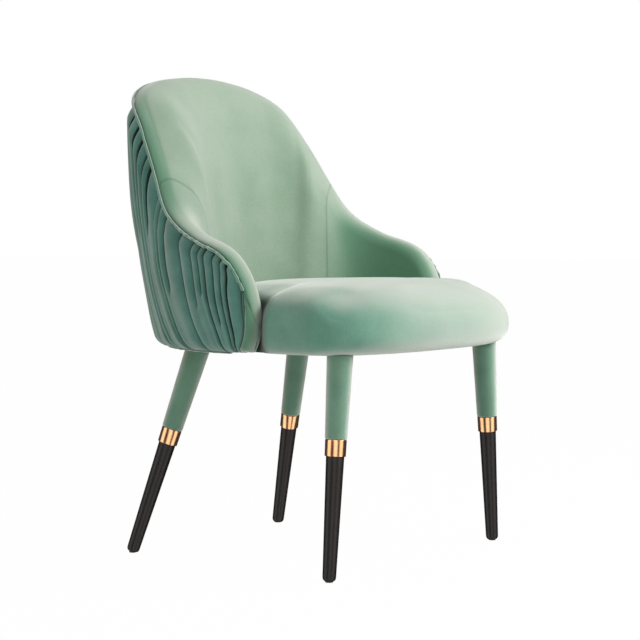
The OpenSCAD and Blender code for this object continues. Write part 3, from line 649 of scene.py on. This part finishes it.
def seat_outline(half_w, nose, in_from_wall):
    """The seat from above: along the inner padding, forwards inside the arm, and round the
    front."""
    t = np.linspace(-wall_end, wall_end, 121)
    wall = place(t, depth_at(t, wall_z), -(pad_depth(t) + wall_gap + in_from_wall))
    right_end, left_end = wall[0], wall[-1]
    turn = np.radians(np.linspace(90, -90, 97))
    front_x = half_w * np.sign(np.sin(turn)) * np.abs(np.sin(turn)) ** front_bend
    front_y = seat_y - nose * np.abs(np.cos(turn)) ** front_bend
    points = [(x, y, 0) for x, y, z in wall]
    # Beside the arm the side turns in, over the middle third of the way back
    rows = np.linspace(0.1, 0.92, 27)
    share = ease_in((0.80 - rows) / 0.30)
    points += [(lerp(left_end[0], half_w, s), lerp(seat_y, left_end[1], k), 0)
               for k, s in zip(rows[::-1], share[::-1])]
    points += [(x, y, 0) for x, y in zip(front_x, front_y)]
    points += [(lerp(right_end[0], -half_w, s), lerp(seat_y, right_end[1], k), 0)
               for k, s in zip(rows, share)]
    points.append(points[0])
    return np.array(points)


shrink = 0.003          # the drawn cover, before its foam swells it
turn_under = 0.013      # the lower edge turns under the seat by this much
side_share = 0.45       # how much straighter the sides are than the front
hang_start = -0.015     # in front of here the cushion hangs down over the frame
side_front = -0.225     # behind here its sides are straighter than its front
arm_front = -0.108      # behind here its sides are in the gap beside the arm
rings = []


def add_ring(outline, z, rho=1.0):
    """Adds a ring at height z, with the outline drawn in by the factor rho."""
    ring = outline.copy()
    ring[:, 0] *= rho
    ring[:, 1] = lerp(seat_y, ring[:, 1], rho)
    ring[:, 2] = z
    rings.append(ring)


def lower_outline(inset, in_from_wall):
    return seat_outline(seat_half_width - side_bulge - inset, seat_nose - front_bulge - inset,
                        in_from_wall)


# The underside lies on the webbing, and at the front the side hangs over the frame
edge = lower_outline(shrink, shrink)
frontness = ease_in((hang_start - edge[:, 1]) / 0.03)
straight = ease_in((edge[:, 1] - side_front) / 0.06)
inset = lower_outline(shrink, 0.004)
under = lower_outline(turn_under, 0.006)
for rho in (0.0, 0.25, 0.5, 0.75, 0.96):
    add_ring(inset, web_top + 0.0005, rho)
for outline, rear, front in ((inset, 0.0008, 0.0032), (under, 0.0008, 0.0014),
                             (under, 0.0010, 0.0002), (inset, 0.0012, 0.0001)):
    add_ring(outline, lerp(web_top + rear, base_height + front, frontness))
full = seat_outline(seat_half_width - shrink, seat_nose - shrink, shrink)
for angle in np.radians([90, 75, 60, 45, 30, 15]):
    drop = 1 - math.cos(angle)
    outline = seat_outline(seat_half_width - shrink - side_bulge * drop,
                           seat_nose - shrink - front_bulge * drop, shrink)
    outline[:, :2] += (full - outline)[:, :2] * side_share * straight[:, None]
    z = base_height + seat_waist - seat_waist * math.sin(angle)
    rear = web_top + shrink + 0.006 - 0.005 * math.sin(angle)
    add_ring(outline, np.maximum(z, lerp(rear, z, frontness)))
# The crown is a superellipse, fuller over the sides than over the front
crown = lerp(2.66, 4.4, straight)
low = lerp(web_top + 0.012, base_height + seat_waist, frontness)
top = base_height + seat_rise - shrink
for rho in np.cos(np.radians(np.linspace(0, 90, 44))) ** 0.62:
    rho = float(rho) if rho > 0.02 else 0.0
    add_ring(full, low + (top - low) * (1 - rho ** crown) ** (1 / crown), rho)
rings = np.array(rings)
# Painted shade low in the gap beside the arm, where little light gets in
beside_arm = ease_in((full[:, 1] - arm_front) / 0.02) * (full[:, 1] < 0)
low_part = ease_in((top - 0.012 - rings[..., 2]) / 0.02)
bm = shaped_grid(rings, {"painted_shade": 0.85 * beside_arm[None, :] * low_part})
cushion_velvet = velvet("taut_velvet", with_painted_shade=True)
cushion = make_piece(bm, "seat_cushion", cushion_velvet, ["seat_foam", "seat_cover"])


def swell(piece, pressure, cap, pin_of, frames=20, stiffness=15, smoothing=60):
    """Lets the piece's cover stretch under the push of its foam: Blender's cloth runs with
    pressure and no gravity, pinned by pin_of, and no point moves further than the cap."""
    mesh = piece.data
    rest = np.array([v.co[:] for v in mesh.vertices])
    group = piece.vertex_groups.new(name="pin")
    for v in mesh.vertices:
        held = pin_of(v.co)
        if held > 0:
            group.add([v.index], held, "REPLACE")
    cloth = piece.modifiers.new("cloth", "CLOTH")
    for name, value in (("quality", 6), ("mass", 0.35), ("tension_stiffness", stiffness),
                        ("compression_stiffness", stiffness), ("shear_stiffness", stiffness / 2),
                        ("bending_stiffness", 0.6), ("use_pressure", True),
                        ("uniform_pressure_force", pressure), ("vertex_group_mass", "pin")):
        setattr(cloth.settings, name, value)
    cloth.settings.effector_weights.gravity = 0
    cloth.collision_settings.use_collision = False
    cloth.collision_settings.use_self_collision = False
    cloth.point_cache.frame_start = 1
    cloth.point_cache.frame_end = frames
    for number in range(1, frames + 1):
        scene.frame_set(number)
    live = piece.evaluated_get(bpy.context.evaluated_depsgraph_get())
    now = np.array([v.co[:] for v in live.to_mesh().vertices])
    live.to_mesh_clear()
    piece.modifiers.remove(cloth)
    piece.vertex_groups.remove(group)
    way = now - rest
    # The cover is stretched tight, so it shows the foam's swell without small wrinkles
    ends = np.array([edge.vertices[:] for edge in mesh.edges])
    count = np.bincount(ends.ravel(), minlength=len(rest))[:, None]
    for _ in range(smoothing):
        total = np.zeros(rest.shape)
        np.add.at(total, ends[:, 0], way[ends[:, 1]])
        np.add.at(total, ends[:, 1], way[ends[:, 0]])
        way = 0.5 * way + 0.5 * total / count
    far = np.linalg.norm(way, axis=1, keepdims=True)
    way *= np.minimum(far, cap) / np.maximum(far, 1e-9)
    mesh.vertices.foreach_set("co", (rest + way).ravel())
    mesh.update()
    scene.frame_set(1)


def add_subdivision(piece):
    """Smooths the piece by one level, in the view and in the render."""
    smooth = piece.modifiers.new("smooth", "SUBSURF")
    smooth.levels = smooth.render_levels = 1


def under_seat(p):
    """1 where the cover is stapled or lies on the webbing."""
    return 1.0 if p.z < base_height + 0.012 or (p.z < web_top + 0.006 and p.y > -0.09) else 0.0


swell(cushion, 4.0, 0.004, under_seat)
add_subdivision(cushion)


# ---- Inner back pad ----
# Foam is glued round the inside of the shell and over its edge, and down the
# fronts of the arms. Three panels of velvet cover it, joined by two upright
# seams that are stitched twice, and sewn to the outer cover along the edge.

curl_in = 0.013
curl_h = 0.045
curl_start = 0.88
curl_fade = 0.1
shell_edge = 0.0157     # the shell's edge lies this far inside the covers' edge
shell_face = 0.0053
seam_lean = 0.028       # the seam's upper end leans forwards by this much of t
lean_start = 0.2        # from this height on, along the seam
lean_run = 0.11


def edge_of(t):
    """Depth at which the inner and the outer cover meet at the piping."""
    return float(top_depth(t, corner_h(t)))


def front_curl(t, z):
    """The lower end of the arm's front is drawn back a little, where the covers are stapled."""
    low = np.maximum(1 - (z - base_height) / curl_h, 0)
    return curl_in * low ** 2 * ease_in((np.abs(t) - curl_start) / curl_fade)


def rounded(first, last, steps):
    """Shares from 0 to 1 that are close together at the start of a quarter turn."""
    return 1 - np.cos(np.radians(np.linspace(first, last, steps)))


# The columns along the shell are close together where the arm's front rounds off
nose = 1 - edge_roll * rounded(90, 0, 14) / nose_speed * 1.05
half = np.concatenate([np.linspace(0, nose[0], 96)[:-1], nose])
t = np.concatenate([-half[:0:-1], half])
foot_z = lerp(web_top + ease, base_height + ease, ease_in((np.abs(t) - 0.85) / 0.05))
edge_top = top_depth(t, 0)
bottom = depth_at(t, foot_z)
hem = top_depth(t, corner_h(t) - ease)
past_hem = from_end(t) < front_hem
roll = np.minimum(edge_roll / slope(t), (bottom - edge_top) * 0.5)
columns, piping_crease_shades, offsets = [], [], []
for i in range(len(t)):
    face = np.concatenate([edge_top[i] + roll[i] * rounded(0, 90, 14),
                           np.linspace(edge_top[i] + roll[i], bottom[i], 44)[1:]])
    pairs = [(min(float(inner_off(t[i], d)), 0), d) for d in face[::-1]]
    if past_hem[i]:
        turn = edge_top[i] + (bottom[i] - edge_top[i]) * np.linspace(0, 1, 17)[1:] ** 1.6
    else:
        turn = edge_top[i] + (hem[i] - edge_top[i]) * rounded(0, 90, 8)[1:]
    pairs += [(float(outer_off(t[i], d)), d) for d in turn]
    if not past_hem[i]:
        # Over the shell's edge, and down its inner face
        shell_top = float(top_depth(t[i], shell_edge))
        pairs += [(thick(t[i]) - 0.003, hem[i] + 0.002), (0.0055, shell_top)]
        pairs += [(-shell_face, d) for d in np.linspace(shell_top, bottom[i], 7)]
    pairs.append(pairs[0])
    columns.append([place(t[i], d, off) for off, d in pairs])
    # Painted shade in the crease of the seam with the piping
    piping_crease_shade = [max(off, 0) / thick(t[i]) * (1 - min(abs(d - edge_of(t[i])) / 0.006, 1))
            for off, d in pairs]
    piping_crease_shades.append([share ** 1.5 for share in piping_crease_shade])
    offsets.append([off for off, d in pairs])
points = np.array(columns)
points[..., 1] += front_curl(t[:, None], points[..., 2])
# How far each point is from the seam, and how far along it from the lower edge. Near
# the top the seam bends towards the front.
seam = int(np.argmin(np.abs(t - seam_at)))
run = np.concatenate([[0], np.cumsum(np.linalg.norm(np.diff(points[seam], axis=0), axis=-1))])
pitch = (np.linalg.norm(points[seam + 1] - points[seam - 1], axis=-1)
         / (t[seam + 1] - t[seam - 1]))
shift = seam_lean * ease_in((run - lean_start) / lean_run)
across = (np.abs(t)[:, None] - t[seam] - shift[None, :]) * pitch[None, :]
down = np.broadcast_to(run, points.shape[:2])
# A deeper green from 30 mm behind the seam on, over the arm panels, and painted shade in the outer
# part of the edge
edge_shade = ease_in((np.array(offsets) + 0.008) / 0.012) * ease_in(np.abs(t) / 0.2)[:, None]
arm_green_and_edge_shade = np.maximum(ease_in((across + 0.03) / 0.12), edge_shade)
bm = shaped_grid(points, {"across_seam": across, "along_seam": down,
                          "painted_shade": np.array(piping_crease_shades), "arm_green_and_edge_shade": arm_green_and_edge_shade})
# A paler copy of the same velvet, as painted light on the lit inner back
pad_velvet = velvet("stitched_velvet", "#8aa28b", "#96aa96", sheen=0.6, stitched=True, with_painted_shade=True)
inner_pad = make_piece(bm, "inner_back_pad", pad_velvet,
                       ["inner_foam", "inner_back_cover", "left_arm_cover", "right_arm_cover"])
add_subdivision(inner_pad)


# ---- Outer cover ----
# Polyester wadding is glued to the outside of the shell. The velvet over it is
# sewn into upright pleats of uneven width, caught in the edge seam at the top
# and at the arm's front, and stapled under the shell at the bottom.

puff = 0.017            # how far the wadding stands out at the back
puff_taper = 0.72       # and how much of that is gone at the arms
puff_rise = 0.030
bow = 0.035             # bulge between the edge and the foot, as a share of the height
pleat_bulge = 0.22      # height of a pleat, as a share of its width
pleat_most = 0.0075


def cover_off(t, depth):
    """The outer cover without its pleats, from the shell's middle."""
    k = depth / line_length(t)
    z = np.maximum(place(t, depth, 0.0)[..., 2] - base_height, 0)
    rounding = foot_round - np.sqrt(np.maximum(foot_round ** 2 - (foot_round - z) ** 2, 0))
    lean = np.where(z < foot_round, rounding, 0)
    return (thick(t) - lean
            + (puff * (1 - puff_taper * np.abs(t)) + bow * 4 * k * (1 - k) * line_length(t))
            * ease_in((gap_at(t, depth) - corner_h(t)) / puff_rise))


# Creases on one side: place at the edge, from 0 at the middle of the back to 1 at the
# arm's front, depth in millimetres, and how far down the crease runs
creases = [(0.030, 8, 1), (0.078, 7, 1), (0.139, 9, 1), (0.176, 6, 0.6), (0.236, 9, 1),
           (0.298, 8, 1), (0.355, 8, 1), (0.392, 7, 0.5), (0.427, 9, 1), (0.469, 9, 1),
           (0.499, 6, 0.4), (0.579, 9, 1), (0.604, 8, 1), (0.641, 6, 0.6), (0.731, 9, 1),
           (0.788, 7, 0.62), (0.818, 8, 0.5), (0.838, 8, 1), (0.868, 7, 0.75),
           (0.893, 8, 1), (0.910, 8, 1)]
cover_end = 1 - front_hem / nose_speed
fold_w = 0.0052 / nose_speed
mouth = 0.0021          # half width of a crease
crease_fade = 0.12      # share of the height over which a short crease ends
dark_reach = 0.0028     # painted shade reaches this far from the middle of a crease
dark_fade = 0.0019
ripple = 0.0022         # unevenness of the cover between its edges
k_rows = np.concatenate([np.linspace(0, 0.06, 8)[:-1], np.linspace(0.06, 0.9, 58)[:-1],
                         np.linspace(0.9, 1, 14)])


def crease_line(t0, k):
    """Where a crease runs: nearly plumb, so it moves towards the front on its way down."""
    drift = np.interp(t0, [0, 0.2, 0.4, 0.5, 0.6, 0.78, 0.9, 0.966],
                      [0, 0.12, 0.2, 0.19, 0.13, 0.075, 0.05, 0.02])
    hook = 0.009 * np.exp(-((k - 0.09) / 0.06) ** 2) * min(1, t0 * 3)
    return t0 - hook + drift * k ** 2.2


def crease_share(end):
    """How much of a crease is there at each row, if it ends at that share of the height."""
    if end < 1:
        return 1 - ease_in((k_rows - end) / crease_fade + 1)
    return np.ones(k_rows.shape)


def side_of_cover(sign):
    """Columns of one half, from the middle of the back to the hem at the arm's front."""
    starts = ([(-creases[0][0], creases[0][1], 1)] + creases
              + [(cover_end - fold_w, 6, 1), (cover_end, 5, 1)])
    hem_start = len(starts) - 2
    lines = []
    for n, (t0, mm, end) in enumerate(starts):
        # On the left side the pleats are moved a little, since no two sides are sewn alike
        shift = 0.0 if sign < 0 or n < 2 else 0.004 * math.sin(n * 2.3)
        if n == 0:
            lines.append(-crease_line(-t0, k_rows))
        elif n >= hem_start:
            lines.append(t0 + 0.006 / nose_speed * ease_in(k_rows / 0.6))
        else:
            lines.append(np.minimum(crease_line(t0 + shift, k_rows),
                                    cover_end - fold_w - 0.004 * (hem_start - n)))
    cols_t, cols_relief, cols_dark = [], [], []
    for n in range(len(starts) - 1):
        a, b = lines[n], lines[n + 1]
        mid = len(k_rows) // 2
        near = np.linalg.norm(place(a[mid], 0.2, 0.0) - place(b[mid], 0.2, 0.0))
        width_rows = np.linalg.norm(place(a, lerp(0.01, 0.3, k_rows), 0.02)
                                    - place(b, lerp(0.01, 0.3, k_rows), 0.02), axis=-1)
        # The columns are close together near the creases
        steps = np.array([0, 0.0004, 0.0009, 0.0014, 0.0019, 0.0026, 0.0036, 0.005])
        steps = steps[steps < near * 0.4]
        half = np.concatenate([steps / near, np.linspace(steps[-1] / near, 0.5, 6)[1:]])
        s_all = np.concatenate([half, (1 - half[:-1])[::-1]])
        if n == 0:
            s_all = s_all[s_all >= 0.5]
        depth_a, depth_b = starts[n][1] / 1000, starts[n + 1][1] / 1000
        fade_a, fade_b = crease_share(starts[n][2]), crease_share(starts[n + 1][2])
        for s in (s_all[:-1] if n < hem_start else s_all):
            x_a, x_b = s * width_rows, (1 - s) * width_rows
            bulge = np.minimum(pleat_most, pleat_bulge * width_rows)
            shape = (1 - np.abs(2 * s - 1) ** 2.1) ** 0.8
            # A pillow between two creases; where one fades out, its side stays high
            level = lerp(fade_a, fade_b, s)
            pillow = -bulge * (1 - shape) * level
            cut = (depth_a * np.exp(-(x_a / mouth) ** 2) * fade_a
                   + depth_b * np.exp(-(x_b / mouth) ** 2) * fade_b)
            reach_here = dark_reach * lerp(1.9, 1.0, ease_in((a - 0.3) / 0.3))
            dark = np.maximum(fade_a * ease_in((reach_here - x_a) / dark_fade),
                              fade_b * ease_in((reach_here - x_b) / dark_fade))
            cols_t.append(lerp(a, b, s))
            cols_relief.append(pillow - cut)
            # Painted shade along the creases, and painted shade that grows across each pleat
            # towards its next crease
            cols_dark.append(np.maximum(dark, 0.22 * s ** 2))
    return np.array(cols_t) * sign, np.array(cols_relief), np.array(cols_dark)


right_t, right_relief, right_dark = side_of_cover(-1)
left_t, left_relief, left_dark = side_of_cover(1)
t = np.concatenate([right_t[:0:-1], left_t])
relief = np.concatenate([right_relief[:0:-1], left_relief])
crease_shade = np.concatenate([right_dark[:0:-1], left_dark])
k = np.broadcast_to(k_rows, t.shape)
top = top_depth(t, corner_h(t))
bottom = depth_at(t, base_height)
depth = lerp(top, bottom, k)
# The pleats are flatter where the cover is sewn and where it is stapled
calm = 0.45 + 0.55 * ease_in(k / 0.05) - 0.35 * ease_in((k - 0.93) / 0.07)
waves = np.array([[noise.noise(Vector((tt * 14, kk * 3.2, 0.3))) for tt, kk in zip(tr, kr)]
                  for tr, kr in zip(t, k)])
off = (cover_off(t, depth) + relief * calm
       + ripple * waves * ease_in(k / 0.12) * ease_in((1 - k) / 0.12))
outside = place(t, depth, off)
outside[..., 1] += front_curl(t, outside[..., 2])
# The wadding's inner face, against the shell
inside_rows = np.array([1.0, 0.7, 0.35, 0.0])
inside_t = np.stack([np.interp(inside_rows, k_rows, row) for row in t])
inside_depth = lerp(top_depth(inside_t, corner_h(inside_t)) + 0.014,
                    depth_at(inside_t, base_height + 0.003), inside_rows)
inside = place(inside_t, inside_depth, 0.0056)
points = np.concatenate([outside, inside, outside[:, :1]], axis=1)
# Painted shade in the crease under the piping, and over the wadding's hidden inner face
below_edge = (depth - top) / 0.006
cover_shade = np.maximum(crease_shade, 0.9 * np.exp(-below_edge ** 2))
cover_shade = np.concatenate([cover_shade, np.ones(inside.shape[:2]), cover_shade[:, :1]], axis=1)
bm = shaped_grid(points, {"painted_shade": cover_shade})
# A darker, bluer copy of the same velvet, as painted shade on the outside, which faces away from
# the key lamp
cover_velvet = velvet("pleated_velvet", "#527f73", "#6a988b", lift=0.34, sheen=0.45,
                      with_painted_shade=True)
outer_pad = make_piece(bm, "pleated_outer_cover", cover_velvet,
                       ["outer_cover", "outer_wadding"])


# ---- Piping ----
# A cord wrapped in velvet is sewn into the seam between the inner and the outer
# cover. The pleats pucker it where they are close together, towards the arms.

piping_r = 0.0023
pucker_start = 0.62
pucker_out = 0.0014     # how far the pleats pull the cord outwards and up
pucker_up = 0.0022
t = np.linspace(-cover_end, cover_end, 1101)
middle = place(t, top_depth(t, corner_h(t)), thick(t) + (piping_r + ease))
tangent = np.gradient(middle, axis=0)
tangent /= np.linalg.norm(tangent, axis=1, keepdims=True)
u = outward(t, np.zeros(t.shape))
v = np.cross(tangent, u)
v /= np.linalg.norm(v, axis=1, keepdims=True)
u = np.cross(v, tangent)
pucker = ease_in((np.abs(t) - pucker_start) / 0.1)
run = np.concatenate([[0], np.cumsum(np.linalg.norm(np.diff(middle, axis=0), axis=1))])
wobble = np.array([noise.noise(Vector((r / 0.009, 0.7, 0))) for r in run])
lift = np.array([noise.noise(Vector((r / 0.011, 3.1, 0))) for r in run])
middle = (middle + (pucker_out * pucker * wobble)[:, None] * u
          + (pucker_up * pucker * lift)[:, None] * v)
radius = piping_r * (1 + 0.35 * pucker * wobble)
angles = np.radians(np.linspace(0, 360, 17))[None, :, None]
points = (middle[:, None] + radius[:, None, None]
          * (np.cos(angles) * u[:, None] + np.sin(angles) * v[:, None]))
bm = shaped_grid(points)
make_piece(bm, "velvet_piping", velvet("wrapped_velvet"), ["edge_piping"])


# ---- Hem band ----
# The lower edge of the outer cover is closed by a narrow strip of the same
# velvet, folded and stapled under the shell. It sags a little between staples.

band_end = 0.9
band_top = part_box("hem_band")[1][2]
# The strip's section: outwards from the padding's face, and up from its own top
section = [(-0.017, 0.0), (-0.017, -0.0015), (-0.0165, -0.0018), (-0.008, -0.0018),
           (-0.0073, -0.0014), (-0.007, -0.0009), (-0.0073, -0.0003), (-0.008, 0.0),
           (-0.017, 0.0)]
t = np.linspace(-band_end, band_end, 241)
sag = 0.0006 * np.sin(np.arange(len(t)) * 0.9) * np.cos(t * 9)
away = side_of(foot_line(t + t_step), foot_line(t - t_step))
points = []
for across_off, drop in section:
    row = foot_line(t) + ((thick(t) + across_off)[:, None]) * away
    row[:, 2] = band_top + drop - (sag if drop < 0 else 0)
    points.append(row)
bm = shaped_grid(np.array(points).transpose(1, 0, 2))
make_piece(bm, "velvet_hem", sleeve_velvet, ["hem_band"])


# ---- Camera, lamps and floor ----
# A long lens at the height of the arms, a large soft lamp in front of the chair
# and above it, a weaker one at the side, and a plain white floor.

eye = bpy.data.cameras.new("camera")
eye.lens = 110.46
eye.sensor_width = 36
eye.shift_y = -0.0583
camera = bpy.data.objects.new("camera", eye)
camera.location = (-2.87747, -2.00777, 0.57176)
camera.rotation_euler = (math.radians(90 - 1.55), 0, math.radians(-55.242))
scene.collection.objects.link(camera)
scene.camera = camera

aim = Vector((0, 0, 0.5))
for name, where, size, power in (("key", (1.3, -2.4, 2.1), 1.8, 94),
                                 ("side", (-3.0, -0.6, 1.7), 1.6, 14)):
    lamp = bpy.data.lights.new(name, "AREA")
    lamp.shape = "DISK"
    lamp.size = size
    lamp.energy = power
    holder = bpy.data.objects.new(name, lamp)
    holder.location = where
    holder.rotation_euler = (aim - Vector(where)).to_track_quat("-Z", "Y").to_euler()
    scene.collection.objects.link(holder)

world = bpy.data.worlds.new("studio")
scene.world = world
world.use_nodes = True
tree = world.node_tree
tree.nodes.clear()
light = add_node(tree, "LightPath")
seen = add_node(tree, "Math", {"operation": "MAXIMUM"},
                {0: light.outputs["Is Camera Ray"], 1: light.outputs["Is Transmission Ray"]})
fill = add_node(tree, "Background", {"Color": (1, 1, 1, 1), "Strength": 0.44})
white = add_node(tree, "Background", {"Color": (1, 1, 1, 1), "Strength": 1.0})
mixed = add_node(tree, "MixShader", links={0: seen, 1: fill, 2: white})
# Polished metal mirrors a dim room with three tall soft boxes in it
room_light, box_light = 0.1, 2.7
box_edge, box_core = math.cos(math.radians(27)), math.cos(math.radians(5))
look = add_node(tree, "TexCoord")
way = add_node(tree, "SeparateXYZ", links={0: look.outputs["Generated"]})
turn = add_node(tree, "Math", {"operation": "ARCTAN2"}, {0: way.outputs[1], 1: way.outputs[0]})
boxes = None
for azimuth in (141, 215, 277):
    off = add_node(tree, "Math", {"operation": "SUBTRACT", 1: math.radians(azimuth)}, {0: turn})
    near = add_node(tree, "Math", {"operation": "COSINE"}, {0: off})
    box = add_node(tree, "MapRange",
                   {"interpolation_type": "SMOOTHSTEP", "From Min": box_edge,
                    "From Max": box_core, "To Min": room_light, "To Max": box_light},
                   {"Value": near})
    boxes = add_node(tree, "Math", {"operation": "MAXIMUM"}, {0: boxes, 1: box}) if boxes else box
room = add_node(tree, "Background", {"Color": (1, 1, 1, 1)}, {"Strength": boxes})
mixed = add_node(tree, "MixShader", links={0: light.outputs["Is Glossy Ray"], 1: mixed, 2: room})
add_node(tree, "OutputWorld", links={"Surface": mixed})

bm = bmesh.new()
bmesh.ops.create_grid(bm, x_segments=1, y_segments=1, size=30)
mesh = bpy.data.meshes.new("floor")
bm.to_mesh(mesh)
bm.free()
floor = bpy.data.objects.new("floor", mesh)
scene.collection.objects.link(floor)
# Matt white paper, which also shows as white where it is in shade
paper, tree = new_finish("white_background_paper")
light = add_node(tree, "LightPath")
matt = add_node(tree, "BsdfDiffuse", {"Color": (0.8, 0.8, 0.8, 1)})
glow = add_node(tree, "Emission", {"Color": (1, 1, 1, 1), "Strength": 1.0})
share = add_node(tree, "Math", {"operation": "MULTIPLY", 1: 0.985},
                 {0: light.outputs["Is Camera Ray"]})
mixed = add_node(tree, "MixShader", links={0: share, 1: matt, 2: glow})
add_node(tree, "OutputMaterial", links={"Surface": mixed})
mesh.materials.append(paper)
# The rings and the lacquer mirror the room all round, and not the bright floor
floor.visible_glossy = False

scene.view_settings.view_transform = "Standard"
